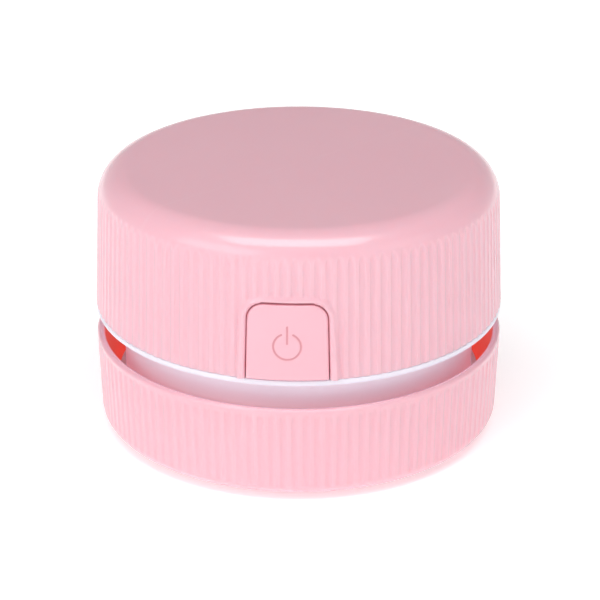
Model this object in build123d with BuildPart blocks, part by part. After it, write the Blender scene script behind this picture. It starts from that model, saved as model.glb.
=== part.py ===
from build123d import *

import os
from math import cos, radians, sin

os.makedirs("parts", exist_ok=True)

# Heights are above the table that the feet stand on; the origin is on that table, under the middle.
# The front, with the power button, faces -Y.

# Outer form
foot_height = 1.2
cup_rim_radius = 42.6
cup_base_radius = 42.1
cup_rim = 20.4
ring_bottom = 25.65
ring_top = 26.8
shell_base_radius = 42.5
shell_shoulder_radius = 41.4
shell_shoulder = 49.4
overall_height = 55.7
top_round = 6.2
wall = 1.6

# Dust cup
cup_bottom = foot_height
floor_top = cup_bottom + 2.0
recess_radius = 27.0
recess_roof = cup_bottom + 2.2
recess_floor_top = recess_roof + 1.4
inlet_radius = 7.5
riser_top = recess_floor_top + 1.2
socket_inner = 37.1
socket_outer = 38.5
socket_top = 9.4
carrier_boss_circle = 14.0
carrier_bottom = recess_roof - 1.6
tuft_count = 40
tuft_circle = 22.0
tuft_radius = 0.85
foot_circle = 33.6
foot_radius = 4.0

# Quick thread that holds the head in the cup: three short pads on each side
thread_lead = 30.0
thread_starts = 3
lug_half_angle = 7.0
ridge_half_angle = 9.0
pad_thickness = 1.2
lug_height = 6.2
pad_gap = 0.2
lug_radius = 36.6
ridge_radius = 35.8

# Chassis with its white ring and bulkhead, and the slotted drum with its skirt
drum_radius = 36.8
drum_wall = 1.4
drum_bottom = 10.0
skirt_radius = 35.4
skirt_inner = 34.0
skirt_bottom = 4.6
guard_ledge = 11.0
bulkhead_top = 27.25
exhaust_slots = 12
slot_bottom = 12.4
slot_top = 15.3
slot_angle = 12.0
well_bottom = 22.6
well_floor = 24.2
cradle_radius = 12.4
cradle_top = 36.0

# Fan and filter
guard_thickness = 1.2
guard_radius = 35.2
fan_radius = 27.0
fan_bottom = 13.6
fan_top = 21.6
fan_blades = 9
fan_hub_radius = 4.2
filter_bottom = 9.1
filter_top = 10.7
filter_ring_inner = 30.8
filter_hub_radius = 5.2
filter_rib = 1.6
grille_radius = 14.0
grille_rings = (10.8, 7.0)
grille_hub_radius = 3.6
grille_bar = 1.2

# Motor, 130 size
motor_radius = 10.2
motor_half_flat = 7.7
can_top = 45.8
motor_top = 49.3
shaft_radius = 1.0
bearing_radius = 2.3
can_wall = 0.8
magnet_outer = 9.3
magnet_inner = 7.1
magnet_bottom = 27.5
magnet_top = 43.0
core_radius = 6.6
core_bottom = 29.0
core_top = 41.0
commutator_radius = 2.4
terminal_y = 6.9

# Battery and boards
cell_radius = 7.0
cell_length = 49.0
cell_y = 22.5
cell_z = 39.4
tab_thickness = 0.3
charge_board_z = 29.4
board_thickness = 1.2
lead_radius = 0.55
post_radius = 2.3
clamp_post_x = 15.9
board_post_x = 9.0
board_post_y = 20.0
clip_spread = 14.0
switch_board_front = -26.0
switch_board_back = -24.6
switch_half_width = 10.3
switch_z = 35.0
guide_top = 40.0
usb_back = 34.6
usb_front = 41.7
usb_width = 8.94
usb_height = 3.3
usb_metal = 0.3
led_x = 8.5

# Power button
button_bottom = 27.0
button_top = 42.5
button_half_top = 7.65
button_half_bottom = 8.05
button_round = 3.2
button_gap = 0.25
bezel_half_top = 8.85
bezel_half_bottom = 9.8
bezel_top = 43.9
bezel_stand = 0.7

# Fasteners
screw_shank = 1.0
screw_head = 2.0
shell_boss_angles = (4.0, 176.0, 231.0, 309.0)
shell_boss_circle = 32.0
guard_post_angles = (45.0, 165.0, 285.0)
guard_post_circle = 30.5
drum_ear_angles = (80.0, 205.0, 335.0)
ear_circle = 33.4
ear_radius = 2.2


def ring(outer, inner, bottom, top, mode=Mode.ADD):
    """A round tube about the axis between two heights."""
    with BuildSketch(Plane.XY.offset(bottom)) as section:
        Circle(outer)
        if inner > 0:
            Circle(inner, mode=Mode.SUBTRACT)
    extrude(section.sketch, amount=top - bottom, mode=mode)


def post(x, y, radius, bottom, top, mode=Mode.ADD):
    """A round upright at one place."""
    with BuildSketch(Plane.XY.offset(bottom)) as section:
        with Locations((x, y)):
            Circle(radius)
    extrude(section.sketch, amount=top - bottom, mode=mode)


def block(x_range, y_range, z_range, mode=Mode.ADD):
    """A straight block between two corners."""
    x_low, x_high = x_range
    y_low, y_high = y_range
    z_low, z_high = z_range
    with BuildSketch(Plane.XY.offset(z_low)) as section:
        with Locations(((x_low + x_high) / 2, (y_low + y_high) / 2)):
            Rectangle(x_high - x_low, y_high - y_low)
    extrude(section.sketch, amount=z_high - z_low, mode=mode)


def turned(points, mode=Mode.ADD):
    """A body turned about the axis from an outline of (radius, height) points."""
    with BuildSketch(Plane.XZ) as section:
        with BuildLine():
            Polyline(*points, close=True)
        make_face()
    revolve(section.sketch, axis=Axis.Z, mode=mode)


def on_circle(radius, angle):
    """The place at an angle on a circle about the axis."""
    return radius * cos(radians(angle)), radius * sin(radians(angle))


def screw(seat, length, head_height=1.3, flush=False):
    """A cross-head screw: seat is the plane under the head, and its Z points out of the head."""
    with BuildSketch(seat) as shank:
        Circle(screw_shank)
    extrude(shank.sketch, amount=-length)
    with BuildSketch(seat) as head:
        Circle(screw_shank if flush else screw_head)
    if flush:
        with BuildSketch(seat.offset(head_height)) as face:
            Circle(screw_head)
        loft([head.sketch, face.sketch])
    else:
        extrude(head.sketch, amount=head_height)
    with BuildSketch(seat.offset(head_height)) as cross:
        Rectangle(2.2, 0.5)
        Rectangle(0.5, 2.2)
    extrude(cross.sketch, amount=-0.7, mode=Mode.SUBTRACT)


def thread_pad(angle, half_angle, middle, inner, outer):
    """One slanted pad of the quick thread, pushed out radially; it rises anticlockwise."""
    x, y = on_circle(inner, angle)
    facing = Plane(
        origin=(x, y, middle),
        x_dir=(-sin(radians(angle)), cos(radians(angle)), 0),
        z_dir=(cos(radians(angle)), sin(radians(angle)), 0),
    )
    rise = thread_lead * half_angle / 360
    half_width = outer * sin(radians(half_angle))
    half_thick = pad_thickness / 2
    with BuildSketch(facing) as section:
        with BuildLine():
            Polyline(
                (-half_width, -rise - half_thick),
                (half_width, rise - half_thick),
                (half_width, rise + half_thick),
                (-half_width, -rise + half_thick),
                close=True,
            )
        make_face()
    extrude(section.sketch, amount=outer - inner)


def wedge_outline(half_bottom, half_top, bottom, top, corner):
    """The button's outline seen from the front: straight base, rounded top corners."""
    with BuildSketch(Plane.XZ) as outline:
        with BuildLine():
            Polyline(
                (-half_bottom, bottom),
                (half_bottom, bottom),
                (half_top, top),
                (-half_top, top),
                close=True,
            )
        make_face()
        fillet(outline.vertices().group_by(Axis.Z)[-1], radius=corner)
    return outline.sketch


def from_front(outline, y_front, y_back, mode=Mode.ADD):
    """Push a front outline through a range of depth."""
    extrude(outline.moved(Location((0, y_back, 0))), amount=y_back - y_front, mode=mode)


def lead(route, bend):
    """A short insulated wire along straight runs with rounded corners."""
    with BuildLine() as path:
        FilletPolyline(*route, radius=bend)
    with BuildSketch(Plane(origin=path.line @ 0, z_dir=path.line % 0)) as section:
        Circle(lead_radius)
    sweep(section.sketch, path=path.line)


def finish_part(piece, name):
    """Label a finished piece and write it out."""
    piece.part.label = name
    export_step(piece.part, f"parts/{name}.step")


thread_angles = [30.0 + 360.0 / thread_starts * turn for turn in range(thread_starts)]
ridge_height = lug_height + pad_thickness + pad_gap

# ---- Dust cup and what is fixed to it

with BuildPart() as dust_cup:
    turned(
        (
            (inlet_radius, recess_roof),
            (recess_radius, recess_roof),
            (recess_radius, cup_bottom),
            (cup_base_radius, cup_bottom),
            (cup_rim_radius, cup_rim),
            (cup_rim_radius - wall, cup_rim),
            (cup_base_radius - wall, floor_top),
            (recess_radius + wall, floor_top),
            (recess_radius + wall, recess_floor_top),
            (inlet_radius + 1.2, recess_floor_top),
            (inlet_radius + 1.2, riser_top),
            (inlet_radius, riser_top),
        )
    )
    rim_edges = dust_cup.edges().filter_by(GeomType.CIRCLE).group_by(Axis.Z)[-1]
    fillet(rim_edges, radius=0.7)
    base_edge = dust_cup.edges().filter_by(GeomType.CIRCLE).group_by(Axis.Z)[0].sort_by(SortBy.RADIUS)[-1]
    fillet(base_edge, radius=2.5)
    for boss_turn in range(3):
        boss_x, boss_y = on_circle(carrier_boss_circle, 90.0 + 120.0 * boss_turn)
        post(boss_x, boss_y, 2.2, recess_floor_top, recess_floor_top + 1.6)
        post(boss_x, boss_y, screw_shank + 0.03, recess_roof, recess_floor_top + 0.9, Mode.SUBTRACT)
finish_part(dust_cup, "dust_cup")

with BuildPart() as thread_collar:
    for pad_angle in thread_angles:
        thread_pad(pad_angle, ridge_half_angle, ridge_height, ridge_radius - 1.0, socket_inner + 0.6)
    ring(ridge_radius, 0, 0, socket_top, Mode.SUBTRACT)
    ring(socket_inner + 0.4, 0, floor_top, socket_top, Mode.INTERSECT)
    ring(socket_outer, socket_inner, floor_top, socket_top)
finish_part(thread_collar, "thread_collar")

with BuildPart() as brush_carrier:
    ring(recess_radius - 0.4, inlet_radius, carrier_bottom, recess_roof)
    with BuildSketch(Plane.XY.offset(carrier_bottom)) as tuft_holes:
        with PolarLocations(tuft_circle, tuft_count):
            Circle(tuft_radius + 0.1)
    extrude(tuft_holes.sketch, amount=1.2, mode=Mode.SUBTRACT)
    for boss_turn in range(3):
        boss_x, boss_y = on_circle(carrier_boss_circle, 90.0 + 120.0 * boss_turn)
        post(boss_x, boss_y, screw_head + 0.1, carrier_bottom, recess_roof, Mode.SUBTRACT)
        post(boss_x, boss_y, screw_head + 0.1, recess_roof - 0.5, recess_roof)
        post(boss_x, boss_y, screw_shank + 0.1, recess_roof - 0.5, recess_roof, Mode.SUBTRACT)
finish_part(brush_carrier, "brush_carrier")

with BuildPart() as carrier_screws:
    for boss_turn in range(3):
        boss_x, boss_y = on_circle(carrier_boss_circle, 90.0 + 120.0 * boss_turn)
        screw(Plane(origin=(boss_x, boss_y, recess_roof - 0.5), z_dir=(0, 0, -1)), 2.6, 1.0)
finish_part(carrier_screws, "carrier_screws")

with BuildPart() as brush_tufts:
    with BuildSketch(Plane.XY.offset(0.15)) as tuft_sections:
        with PolarLocations(tuft_circle, tuft_count):
            Circle(tuft_radius)
    extrude(tuft_sections.sketch, amount=carrier_bottom + 1.2 - 0.15)
finish_part(brush_tufts, "brush_tufts")

with BuildPart() as rubber_feet:
    with BuildSketch() as foot_sections:
        with PolarLocations(foot_circle, 4, start_angle=45):
            Circle(foot_radius)
    extrude(foot_sections.sketch, amount=foot_height)
    chamfer(rubber_feet.edges().group_by(Axis.Z)[0], length=0.3)
finish_part(rubber_feet, "rubber_feet")

# ---- Seal that the drum's shoulder stands on

with BuildPart() as seal_ring:
    ring(socket_outer - 0.2, skirt_radius + 0.25, socket_top, drum_bottom)
finish_part(seal_ring, "seal_ring")

# ---- Head: shell and chassis

button_outline = wedge_outline(button_half_bottom, button_half_top, button_bottom, button_top, button_round)
opening_outline = wedge_outline(
    button_half_bottom + button_gap,
    button_half_top + button_gap,
    ring_top - 1.0,
    button_top + button_gap,
    button_round + button_gap,
)
bezel_outline = wedge_outline(bezel_half_bottom, bezel_half_top, ring_top, bezel_top, button_round + 1.2)
taper = (shell_base_radius - shell_shoulder_radius) / (shell_shoulder - ring_top)

with BuildPart() as bezel_pad:
    from_front(bezel_outline, -46, -39)
    turned(
        (
            (0, ring_top),
            (shell_base_radius + bezel_stand, ring_top),
            (shell_base_radius + bezel_stand - taper * (overall_height - ring_top), overall_height),
            (0, overall_height),
        ),
        Mode.INTERSECT,
    )
    ring(39.6, 0, 0, overall_height, Mode.SUBTRACT)

usb_z = charge_board_z + board_thickness + 1.7
with BuildPart() as top_shell:
    turned(
        (
            (0, ring_top),
            (shell_base_radius, ring_top),
            (shell_shoulder_radius, shell_shoulder),
            (shell_shoulder_radius, overall_height),
            (0, overall_height),
        )
    )
    fillet(top_shell.edges().filter_by(GeomType.CIRCLE).group_by(Axis.Z)[-1], radius=top_round)
    add(bezel_pad.part)
    turned(
        (
            (0, ring_top),
            (shell_base_radius - wall, ring_top),
            (shell_shoulder_radius - wall, shell_shoulder),
            (shell_shoulder_radius - wall - 1.3, overall_height - wall - 1.3),
            (shell_shoulder_radius - wall - 4.4, overall_height - wall),
            (0, overall_height - wall),
        ),
        Mode.SUBTRACT,
    )
    from_front(opening_outline, -47, -35, Mode.SUBTRACT)
    for boss_angle in shell_boss_angles:
        boss_x, boss_y = on_circle(shell_boss_circle, boss_angle)
        post(boss_x, boss_y, 2.6, bulkhead_top, overall_height - wall)
        post(boss_x, boss_y, screw_shank + 0.03, bulkhead_top, bulkhead_top + 8.0, Mode.SUBTRACT)
    with BuildSketch(Plane.XZ.offset(-37)) as usb_opening:
        with Locations((0, usb_z)):
            SlotOverall(usb_width + 0.56, usb_height + 0.5)
        with Locations((led_x, usb_z)):
            Circle(0.8)
    extrude(usb_opening.sketch, amount=-8, mode=Mode.SUBTRACT)
finish_part(top_shell, "top_shell")

with BuildPart() as motor_pocket:
    ring(motor_radius + 0.1, 0, well_floor, cradle_top)
    pocket_y = motor_half_flat + 0.1
    block((-12, 12), (-pocket_y, pocket_y), (well_floor, cradle_top), Mode.INTERSECT)

with BuildPart() as thread_lugs:
    for pad_angle in thread_angles:
        thread_pad(pad_angle, lug_half_angle, lug_height, skirt_inner + 0.4, lug_radius + 0.4)
    ring(lug_radius, skirt_inner + 0.5, 0, socket_top, Mode.INTERSECT)

with BuildPart() as fan_drum:
    turned(
        (
            (drum_radius - drum_wall, ring_bottom),
            (drum_radius - drum_wall, guard_ledge),
            (skirt_inner, guard_ledge),
            (skirt_inner, skirt_bottom),
            (skirt_radius, skirt_bottom),
            (skirt_radius, drum_bottom),
            (drum_radius, drum_bottom),
            (drum_radius, ring_bottom),
        )
    )
    add(thread_lugs.part)
    with BuildSketch(Plane.XZ) as slot_section:
        with Locations((0, (slot_bottom + slot_top) / 2)):
            SlotOverall(2 * drum_radius * sin(radians(slot_angle / 2)), slot_top - slot_bottom)
    for slot_turn in range(exhaust_slots // 2):
        slot_axis = Location((0, 0, 0), (0, 0, 360.0 / exhaust_slots * slot_turn))
        extrude(slot_section.sketch.moved(slot_axis), amount=drum_radius + 2, both=True, mode=Mode.SUBTRACT)
    for ear_angle in drum_ear_angles:
        ear_x, ear_y = on_circle(ear_circle, ear_angle)
        post(ear_x, ear_y, ear_radius, ring_bottom - 6.0, ring_bottom)
        post(ear_x, ear_y, screw_shank + 0.03, ring_bottom - 5.5, ring_bottom, Mode.SUBTRACT)
finish_part(fan_drum, "fan_drum")

with BuildPart() as chassis:
    turned(
        (
            (3.2, well_bottom),
            (cradle_radius + wall, well_bottom),
            (cradle_radius + wall, ring_bottom),
            (shell_base_radius - 0.05, ring_bottom),
            (shell_base_radius - 0.05, ring_top),
            (40.5, ring_top),
            (40.5, bulkhead_top + 1.8),
            (39.3, bulkhead_top + 1.8),
            (39.3, bulkhead_top),
            (cradle_radius, bulkhead_top),
            (cradle_radius, cradle_top),
            (3.2, cradle_top),
        )
    )
    add(motor_pocket.part, mode=Mode.SUBTRACT)
    block((-10.6, 10.6), (-44, -34.5), (ring_top, bulkhead_top + 2), Mode.SUBTRACT)
    block((-6.5, 10.5), (37, 44), (bulkhead_top, bulkhead_top + 2), Mode.SUBTRACT)
    for boss_angle in shell_boss_angles:
        boss_x, boss_y = on_circle(shell_boss_circle, boss_angle)
        post(boss_x, boss_y, screw_shank + 0.2, ring_bottom, bulkhead_top, Mode.SUBTRACT)
    for ear_angle in drum_ear_angles:
        ear_x, ear_y = on_circle(ear_circle, ear_angle)
        post(ear_x, ear_y, screw_shank + 0.2, ring_bottom, bulkhead_top, Mode.SUBTRACT)
    for post_angle in guard_post_angles:
        post_x, post_y = on_circle(guard_post_circle, post_angle)
        post(post_x, post_y, post_radius, guard_ledge + guard_thickness, ring_bottom)
        post(post_x, post_y, screw_shank + 0.03, guard_ledge + guard_thickness, 18.5, Mode.SUBTRACT)
    for side in (-1, 1):
        post(clamp_post_x * side, 0, post_radius, bulkhead_top, motor_top)
        post(clamp_post_x * side, 0, screw_shank + 0.03, motor_top - 7, motor_top, Mode.SUBTRACT)
        board_x = board_post_x * side
        post(board_x, board_post_y, post_radius, bulkhead_top, charge_board_z)
        post(board_x, board_post_y, screw_shank + 0.03, bulkhead_top, charge_board_z, Mode.SUBTRACT)
        guide_x = sorted(((switch_half_width - 1.1) * side, (switch_half_width + 2.1) * side))
        block(guide_x, (switch_board_front - 1.4, switch_board_back + 1.4), (bulkhead_top, guide_top))
    guide_slot_x = switch_half_width + 0.2
    guide_slot_y = (switch_board_front - 0.1, switch_board_back + 0.1)
    block((-guide_slot_x, guide_slot_x), guide_slot_y, (bulkhead_top, guide_top), Mode.SUBTRACT)
finish_part(chassis, "chassis")

with BuildPart() as drum_screws:
    for ear_angle in drum_ear_angles:
        ear_x, ear_y = on_circle(ear_circle, ear_angle)
        screw(Plane(origin=(ear_x, ear_y, bulkhead_top)), 6.5)
finish_part(drum_screws, "drum_screws")

with BuildPart() as shell_screws:
    for boss_angle in shell_boss_angles:
        boss_x, boss_y = on_circle(shell_boss_circle, boss_angle)
        screw(Plane(origin=(boss_x, boss_y, ring_bottom), z_dir=(0, 0, -1)), 8.5)
finish_part(shell_screws, "shell_screws")

# ---- Head: intake shroud over the fan, and the filter under it

with BuildPart() as fan_shroud:
    guard_top = guard_ledge + guard_thickness
    ring(guard_radius, grille_radius, guard_ledge, guard_top)
    for grille_ring in grille_rings:
        ring(grille_ring + grille_bar / 2, grille_ring - grille_bar / 2, guard_ledge, guard_top)
    ring(grille_hub_radius, 0, guard_ledge, guard_top)
    with BuildSketch(Plane.XY.offset(guard_ledge)) as spokes:
        with PolarLocations((grille_hub_radius + grille_radius) / 2, 6):
            Rectangle(grille_radius - grille_hub_radius + 1.0, grille_bar)
    extrude(spokes.sketch, amount=guard_thickness)
    for post_angle in guard_post_angles:
        post_x, post_y = on_circle(guard_post_circle, post_angle)
        seat = Plane(origin=(post_x, post_y, guard_ledge), z_dir=(0, 0, -1))
        with Locations(seat):
            CounterSinkHole(
                radius=screw_shank + 0.1,
                counter_sink_radius=screw_head + 0.15,
                depth=guard_thickness + 1,
            )
finish_part(fan_shroud, "fan_shroud")

with BuildPart() as shroud_screws:
    for post_angle in guard_post_angles:
        post_x, post_y = on_circle(guard_post_circle, post_angle)
        screw(Plane(origin=(post_x, post_y, guard_ledge + 0.95), z_dir=(0, 0, -1)), 6.5, 0.95, flush=True)
finish_part(shroud_screws, "shroud_screws")

with BuildPart() as filter_frame:
    ring(skirt_inner - 0.05, filter_ring_inner, filter_bottom, filter_top)
    ring(filter_hub_radius, 0, filter_bottom, filter_top)
    with BuildSketch(Plane.XY.offset(filter_bottom)) as ribs:
        with PolarLocations((filter_hub_radius + filter_ring_inner) / 2, 6, start_angle=30):
            Rectangle(filter_ring_inner - filter_hub_radius + 1.0, filter_rib)
    extrude(ribs.sketch, amount=filter_top - filter_bottom)
finish_part(filter_frame, "filter_frame")

with BuildPart() as filter_mesh:
    ring(32.6, 0, filter_top, filter_top + 0.25)
finish_part(filter_mesh, "filter_mesh")

# ---- Head: motor


def motor_section(inset):
    """The can's outline: a circle with two flats."""
    with BuildSketch() as outline:
        Circle(motor_radius - inset)
        Rectangle(30, 2 * (motor_half_flat - inset), mode=Mode.INTERSECT)
    return outline.sketch


with BuildPart() as motor_can:
    extrude(motor_section(0).moved(Location((0, 0, well_floor))), amount=can_top - well_floor)
    extrude(
        motor_section(can_wall).moved(Location((0, 0, well_floor + can_wall))),
        amount=can_top - well_floor,
        mode=Mode.SUBTRACT,
    )
    ring(3.05, 0, well_bottom, well_floor)
    ring(bearing_radius, 0, well_bottom, well_floor + 1, Mode.SUBTRACT)
finish_part(motor_can, "motor_can")

with BuildPart() as motor_end_cap:
    extrude(motor_section(0).moved(Location((0, 0, can_top))), amount=motor_top - can_top)
    ring(3.0, 0, motor_top, motor_top + 1.4)
    ring(bearing_radius, 0, can_top, motor_top + 0.7, Mode.SUBTRACT)
    ring(6.0, 0, can_top, can_top + 1.4, Mode.SUBTRACT)
finish_part(motor_end_cap, "motor_end_cap")

with BuildPart() as motor_bushes:
    ring(bearing_radius, shaft_radius + 0.03, well_bottom, well_bottom + 2.2)
    ring(bearing_radius, shaft_radius + 0.03, motor_top - 1.5, motor_top + 0.7)
finish_part(motor_bushes, "motor_bushes")

with BuildPart() as motor_magnets:
    ring(magnet_outer, magnet_inner, magnet_bottom, magnet_top)
    block((-12, 12), (-5.4, 5.4), (magnet_bottom, magnet_top), Mode.INTERSECT)
finish_part(motor_magnets, "motor_magnets")

with BuildPart() as motor_terminals:
    for side in (-1, 1):
        tab_y = sorted(((terminal_y - 0.2) * side, (terminal_y + 0.2) * side))
        block((-1.2, 1.2), tab_y, (motor_top, motor_top + 2.6))
finish_part(motor_terminals, "motor_terminals")

clamp_top = motor_top + 1.6
with BuildPart() as motor_clamp:
    with BuildSketch(Plane.XY.offset(motor_top)) as strap:
        SlotOverall(37.4, 8.6)
        Circle(3.2, mode=Mode.SUBTRACT)
        with Locations((-clamp_post_x, 0), (clamp_post_x, 0)):
            Circle(screw_shank + 0.15, mode=Mode.SUBTRACT)
    extrude(strap.sketch, amount=clamp_top - motor_top)
finish_part(motor_clamp, "motor_clamp")

with BuildPart() as clamp_screws:
    for side in (-1, 1):
        screw(Plane(origin=(clamp_post_x * side, 0, clamp_top)), 7.5)
finish_part(clamp_screws, "clamp_screws")

# ---- Head: battery, boards and switch

cell_axis = Plane(origin=(-cell_length / 2, cell_y, cell_z), x_dir=(0, 1, 0), z_dir=(1, 0, 0))
with BuildPart() as battery_cell:
    with BuildSketch(cell_axis):
        Circle(cell_radius)
    extrude(amount=cell_length)
    fillet(battery_cell.edges(), radius=0.5)
finish_part(battery_cell, "battery_cell")

with BuildPart() as battery_tabs:
    for side in (-1, 1):
        tab_x = sorted((cell_length / 2 * side, (cell_length / 2 + tab_thickness) * side))
        block(tab_x, (cell_y - 2, cell_y + 2), (cell_z - 4.5, cell_z + 4.5))
finish_part(battery_tabs, "battery_tabs")

clip_outer = cell_radius + 1.6
with BuildPart() as battery_clips:
    for side in (-1, 1):
        clip_x = clip_spread * side - 1.5
        clip_face = Plane(origin=(clip_x, cell_y, cell_z), x_dir=(0, 1, 0), z_dir=(1, 0, 0))
        with BuildSketch(clip_face) as clip:
            Circle(clip_outer)
            with Locations((0, clip_outer + 3.4)):
                Rectangle(2 * clip_outer, 2 * clip_outer, mode=Mode.SUBTRACT)
            with Locations((0, (bulkhead_top - cell_z) / 2)):
                Rectangle(6.0, cell_z - bulkhead_top)
            Circle(cell_radius + 0.05, mode=Mode.SUBTRACT)
        extrude(clip.sketch, amount=3.0)
finish_part(battery_clips, "battery_clips")

board_top = charge_board_z + board_thickness
with BuildPart() as charge_board:
    block((-11.5, 11.5), (17.0, 37.4), (charge_board_z, board_top))
    for side in (-1, 1):
        post(board_post_x * side, board_post_y, screw_shank + 0.15, charge_board_z, board_top, Mode.SUBTRACT)
finish_part(charge_board, "charge_board")

with BuildPart() as board_screws:
    for side in (-1, 1):
        screw(Plane(origin=(board_post_x * side, board_post_y, board_top)), 3.2, 1.1)
finish_part(board_screws, "board_screws")

with BuildPart() as usb_socket:
    with BuildSketch(Plane.XZ.offset(-usb_back)) as socket_body:
        with Locations((0, usb_z)):
            SlotOverall(usb_width, usb_height)
    extrude(socket_body.sketch, amount=usb_back - usb_front)
    with BuildSketch(Plane.XZ.offset(-usb_back - 0.6)) as socket_mouth:
        with Locations((0, usb_z)):
            SlotOverall(usb_width - 2 * usb_metal, usb_height - 2 * usb_metal)
    extrude(socket_mouth.sketch, amount=usb_back - usb_front, mode=Mode.SUBTRACT)
finish_part(usb_socket, "usb_socket")

with BuildPart() as usb_tongue:
    block((-3.35, 3.35), (usb_back + 0.6, usb_front - 0.8), (usb_z - 0.35, usb_z + 0.35))
finish_part(usb_tongue, "usb_tongue")

with BuildPart() as board_chips:
    block((-2.5, 2.5), (30.2, 34.0), (board_top, board_top + 1.1))
    block((-9.8, -6.0), (31.5, 35.3), (board_top, board_top + 1.4))
    block((5.6, 7.6), (30.6, 31.8), (board_top, board_top + 0.8))
    block((5.6, 7.6), (32.8, 34.0), (board_top, board_top + 0.8))
finish_part(board_chips, "board_chips")

with BuildPart() as charge_led:
    block((led_x - 0.9, led_x + 0.9), (35.8, 37.3), (board_top, board_top + 1.0))
    with BuildSketch(Plane.XZ.offset(-37.3)) as light_pipe:
        with Locations((led_x, usb_z)):
            Circle(0.7)
    extrude(light_pipe.sketch, amount=-4.3)
    block((led_x - 0.7, led_x + 0.7), (36.2, 37.3), (board_top + 1.0, usb_z + 0.5))
finish_part(charge_led, "charge_led")

with BuildPart() as switch_board:
    board_y = (switch_board_front, switch_board_back)
    block((-switch_half_width, switch_half_width), board_y, (bulkhead_top + 0.1, guide_top + 4.0))
finish_part(switch_board, "switch_board")

switch_front = -32.6
with BuildPart() as switch_body:
    block((-4.2, 4.2), (switch_front, switch_board_front), (switch_z - 4.2, switch_z + 4.2))
    fillet(switch_body.edges().filter_by(Axis.Y), radius=0.5)
    block((-1.75, 1.75), (switch_front, -29.0), (switch_z - 1.75, switch_z + 1.75), Mode.SUBTRACT)
finish_part(switch_body, "switch_body")

# Leads inside the head

with BuildPart() as motor_leads:
    lead(((0, -7.1, 50.8), (0, -16.0, 50.8), (0, -19.5, 42.5), (0, -24.6, 42.5)), 2.4)
    lead(((0, 7.1, 50.8), (0, 13.9, 50.8), (0, 13.9, 30.0), (0, 17.0, 30.0)), (3.0, 1.6))
finish_part(motor_leads, "motor_leads")

with BuildPart() as battery_leads:
    for side in (-1, 1):
        lead(
            (
                ((cell_length / 2 + tab_thickness) * side, cell_y, 37.0),
                (28.0 * side, cell_y, 37.0),
                (28.0 * side, 27.0, 30.0),
                (20.0 * side, 27.1, 30.0),
                (11.5 * side, 27.2, 30.0),
            ),
            1.3,
        )
finish_part(battery_leads, "battery_leads")

with BuildPart() as switch_leads:
    for side in (-1, 1):
        lead(
            (
                (6.0 * side, -24.6, 31.0),
                (6.0 * side, -18.5, 31.0),
                (22.0 * side, -11.0, 31.0),
                (22.0 * side, 8.0, 30.0),
                (10.0 * side, 12.0, 30.0),
                (10.0 * side, 17.0, 30.0),
            ),
            2.0,
        )
finish_part(switch_leads, "switch_leads")

# ---- Rotor: shaft, armature and fan turn together

with BuildPart() as motor_shaft:
    ring(shaft_radius, 0, 14.2, motor_top + 0.5)
finish_part(motor_shaft, "motor_shaft")

with BuildPart() as rotor_core:
    ring(core_radius, shaft_radius, core_bottom, core_top)
    with BuildSketch(Plane.XY.offset(core_bottom)) as winding_slots:
        with PolarLocations(core_radius - 0.6, 3):
            Rectangle(2.4, 1.6)
    extrude(winding_slots.sketch, amount=core_top - core_bottom, mode=Mode.SUBTRACT)
finish_part(rotor_core, "rotor_core")

with BuildPart() as commutator:
    ring(commutator_radius, shaft_radius, core_top + 0.4, can_top - 0.4)
finish_part(commutator, "commutator")

with BuildSketch() as blade:
    with BuildLine():
        outer_side = ThreePointArc((3.2, 0), (15.0, 3.4), (26.4, -1.0))
        inner_side = ThreePointArc((3.2, 1.2), (15.0, 4.6), (26.5, 0.2))
        Line(outer_side @ 0, inner_side @ 0)
        Line(outer_side @ 1, inner_side @ 1)
    make_face()

with BuildPart() as impeller:
    ring(fan_radius, shaft_radius, fan_top - 1.2, fan_top)
    ring(fan_hub_radius, shaft_radius, fan_bottom + 0.6, fan_top)
    with BuildSketch(Plane.XY.offset(fan_bottom)) as blades:
        with PolarLocations(0, fan_blades):
            add(blade.sketch)
        Circle(2.6, mode=Mode.SUBTRACT)
    extrude(blades.sketch, amount=fan_top - fan_bottom)
finish_part(impeller, "impeller")

# ---- Power button, which slides in along +Y

flange_front = -38.4
flange_back = -37.2
post_back = -36.4
with BuildPart() as power_button:
    from_front(button_outline, -46, flange_back)
    turned(
        (
            (0, button_bottom),
            (shell_base_radius + 0.4, button_bottom),
            (shell_base_radius + 0.4 - taper * (button_top - button_bottom), button_top),
            (0, button_top),
        ),
        Mode.INTERSECT,
    )
    block((-9.2, 9.2), (flange_front, flange_back), (button_bottom + 0.6, button_top + 1.3))
    block((-6.2, 6.2), (-40.6, flange_back), (button_bottom + 1.6, button_top - 2.2), Mode.SUBTRACT)
    block((-2.4, 2.4), (-40.8, post_back), (switch_z - 2.4, switch_z + 2.4))
    fillet(power_button.edges().filter_by(GeomType.LINE).group_by(Axis.Y)[0], radius=0.3)
finish_part(power_button, "power_button")

with BuildPart() as switch_plunger:
    block((-1.6, 1.6), (post_back, -30.4), (switch_z - 1.6, switch_z + 1.6))
finish_part(switch_plunger, "switch_plunger")
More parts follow.
